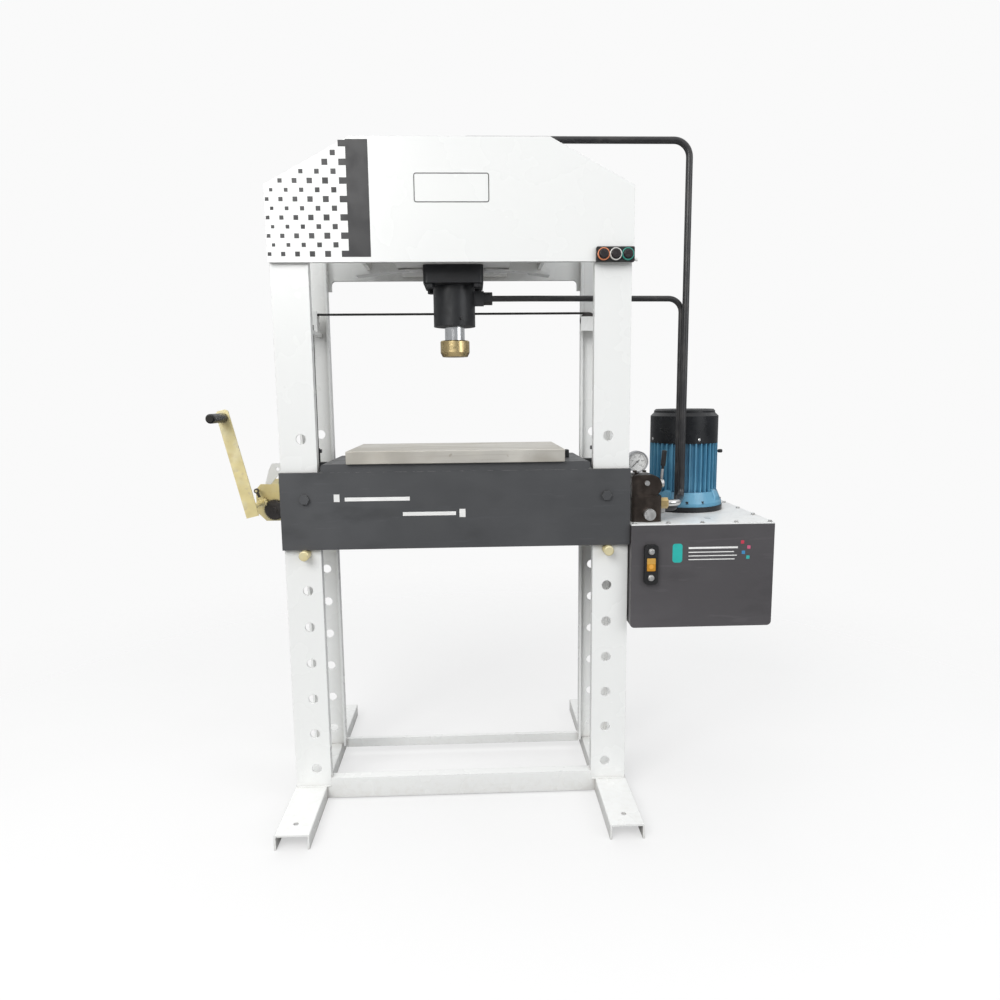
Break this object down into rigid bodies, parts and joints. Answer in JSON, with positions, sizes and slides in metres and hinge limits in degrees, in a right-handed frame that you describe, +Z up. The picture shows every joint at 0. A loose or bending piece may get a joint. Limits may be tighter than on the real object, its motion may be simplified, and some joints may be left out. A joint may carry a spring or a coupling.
{
  "type": "hydraulic press",
  "caption": "H-frame hydraulic workshop press: cylinder and ram under a deep head, pinned bed raised by a hand winch, side tank with motor, lever valve and gauge.",
  "frame": {"origin": "on the floor below the ram axis, midway between the front and rear frame plates, which is the centre of the anchor hole pattern", "axes": "+Z up, +X to the right towards the power pack, -Y towards the operator"},
  "size_m": [1.7552, 0.926, 2.158],
  "materials": {
    "frame_white": "gloss enamel",
    "bed_charcoal": "satin enamel",
    "cylinder_black": "semi-gloss enamel",
    "rod_chrome": "hard chrome",
    "cap_brass": "turned",
    "bolster_steel": "ground, worn",
    "zinc_yellow": "yellow zinc plate",
    "zinc_bright": "bright zinc plate",
    "gear_steel": "oiled",
    "rope_black": "greased wire rope",
    "pipe_black": "satin enamel",
    "tank_charcoal": "satin enamel",
    "lid_grey": "satin enamel",
    "motor_blue": "semi-gloss enamel",
    "cowl_black": "semi-gloss enamel",
    "valve_dark": "phosphated, oily",
    "grip_black": "moulded",
    "panel_black": "moulded",
    "button_dark": "moulded",
    "gauge_steel": "stainless",
    "needle_black": "matt"
  },
  "bodies": {
    "frame": {"head_front_plate": "frame_white", "head_rear_plate": "frame_white", "head_cross_members": "frame_white", "column_front_right": "frame_white", "column_front_left": "frame_white", "column_rear_right": "frame_white", "column_rear_left": "frame_white", "foot_right": "frame_white", "foot_left": "frame_white", "foot_ties": "frame_white", "cylinder_barrel": "cylinder_black", "cylinder_gland": "cylinder_black", "flange_bolts": "cylinder_black", "cylinder_unions": "cylinder_black", "sheave_bracket_left": "frame_white", "sheave_bracket_right": "frame_white", "rope_runs": "rope_black", "rope_fall_left": "rope_black", "rope_fall_right": "rope_black", "winch_mount": "frame_white", "winch_frame": "zinc_yellow", "tank_body": "tank_charcoal", "tank_lid": "lid_grey", "tank_fittings": "cowl_black", "pump_unit": "cylinder_black", "motor_adapter": "cowl_black", "motor_body": "motor_blue", "fan_cover": "cowl_black", "terminal_box": "motor_blue", "valve_body": "valve_dark", "valve_fittings": "zinc_bright", "gauge_case": "gauge_steel", "level_gauge": "panel_black", "pipe_upper": "pipe_black", "pipe_lower": "pipe_black", "button_panel": "panel_black"},
    "bed": {"bed_front_plate": "bed_charcoal", "bed_rear_plate": "bed_charcoal", "bed_cross_members": "bed_charcoal", "bed_top_plate": "bed_charcoal", "bolster_plate": "bolster_steel", "bed_bolts": "bed_charcoal", "bed_fittings": "cylinder_black"},
    "ram": {"piston_rod": "rod_chrome", "ram_cap": "cap_brass"},
    "pin_left": {"support_pin_left": "zinc_yellow"},
    "pin_right": {"support_pin_right": "zinc_yellow"},
    "drum": {"winch_drum": "gear_steel", "rope_on_drum": "rope_black"},
    "crank": {"crank": "zinc_yellow"},
    "grip": {"crank_grip": "grip_black"},
    "pawl": {"pawl": "gear_steel"},
    "sheave_left": {"sheave_left": "gear_steel"},
    "sheave_right": {"sheave_right": "gear_steel"},
    "rotor": {"motor_rotor": "gear_steel"},
    "lever": {"valve_lever": "zinc_bright"},
    "needle": {"gauge_needle": "needle_black"},
    "button_red": {"button_red": "button_dark"},
    "button_white": {"button_white": "button_dark"},
    "button_green": {"button_green": "button_dark"}
  },
  "joints": [
    {"name": "ram_slide", "type": "slide", "parent": "frame", "child": "ram", "axis": [0, 0, -1], "range_m": [0, 0.16]},
    {"name": "bed_lift", "type": "slide", "parent": "frame", "child": "bed", "axis": [0, 0, 1], "range_m": [0, 0.122], "deforming": ["rope_fall_left", "rope_fall_right"]},
    {"name": "drum_spin", "type": "hinge", "parent": "frame", "child": "drum", "pos_m": [-0.601, 0, 0.9744], "axis": [0, -1, 0], "range_deg": [0, 252]},
    {"name": "crank_turn", "type": "hinge", "parent": "frame", "child": "crank", "pos_m": [-0.6355, 0, 1.00171], "axis": [0, 1, 0], "range_deg": [0, 670]},
    {"name": "grip_spin", "type": "hinge", "parent": "crank", "child": "grip", "pos_m": [-0.69984, 0, 1.28038], "axis": [0, 1, 0], "continuous": true},
    {"name": "sheave_left_spin", "type": "hinge", "parent": "frame", "child": "sheave_left", "pos_m": [-0.505, 0, 1.592], "axis": [0, -1, 0], "range_deg": [0, 294]},
    {"name": "sheave_right_spin", "type": "hinge", "parent": "frame", "child": "sheave_right", "pos_m": [0.456, 0, 1.592], "axis": [0, -1, 0], "range_deg": [0, 294]},
    {"name": "pawl_lift", "type": "hinge", "parent": "frame", "child": "pawl", "pos_m": [-0.6515, 0, 1.03971], "axis": [0, -1, 0], "range_deg": [0, 40]},
    {"name": "pin_left_pull", "type": "slide", "parent": "frame", "child": "pin_left", "axis": [0, -1, 0], "range_m": [0, 0.36]},
    {"name": "pin_right_pull", "type": "slide", "parent": "frame", "child": "pin_right", "axis": [0, -1, 0], "range_m": [0, 0.36]},
    {"name": "rotor_spin", "type": "hinge", "parent": "frame", "child": "rotor", "pos_m": [0.818, 0.156, 0], "axis": [0, 0, 1], "continuous": true},
    {"name": "lever_tilt", "type": "hinge", "parent": "frame", "child": "lever", "pos_m": [0.664, -0.104, 1.048], "axis": [1, 0, 0], "range_deg": [-20, 20], "stiffness_Nm_per_rad": 4},
    {"name": "needle_turn", "type": "hinge", "parent": "frame", "child": "needle", "pos_m": [0.591, 0, 1.12], "axis": [0, 1, 0], "range_deg": [0, 270], "stiffness_Nm_per_rad": 0.004},
    {"name": "button_red_press", "type": "slide", "parent": "frame", "child": "button_red", "axis": [0, 1, 0], "range_m": [0, 0.004], "stiffness_N_per_m": 400},
    {"name": "button_white_press", "type": "slide", "parent": "frame", "child": "button_white", "axis": [0, 1, 0], "range_m": [0, 0.004], "stiffness_N_per_m": 400},
    {"name": "button_green_press", "type": "slide", "parent": "frame", "child": "button_green", "axis": [0, 1, 0], "range_m": [0, 0.004], "stiffness_N_per_m": 400}
  ],
  "couplings": [
    {"joint": "drum_spin", "follows": "bed_lift", "rad_per_m": 35.714},
    {"joint": "crank_turn", "follows": "bed_lift", "rad_per_m": 95.238},
    {"joint": "sheave_left_spin", "follows": "bed_lift", "rad_per_m": 41.667},
    {"joint": "sheave_right_spin", "follows": "bed_lift", "rad_per_m": 41.667}
  ]
}
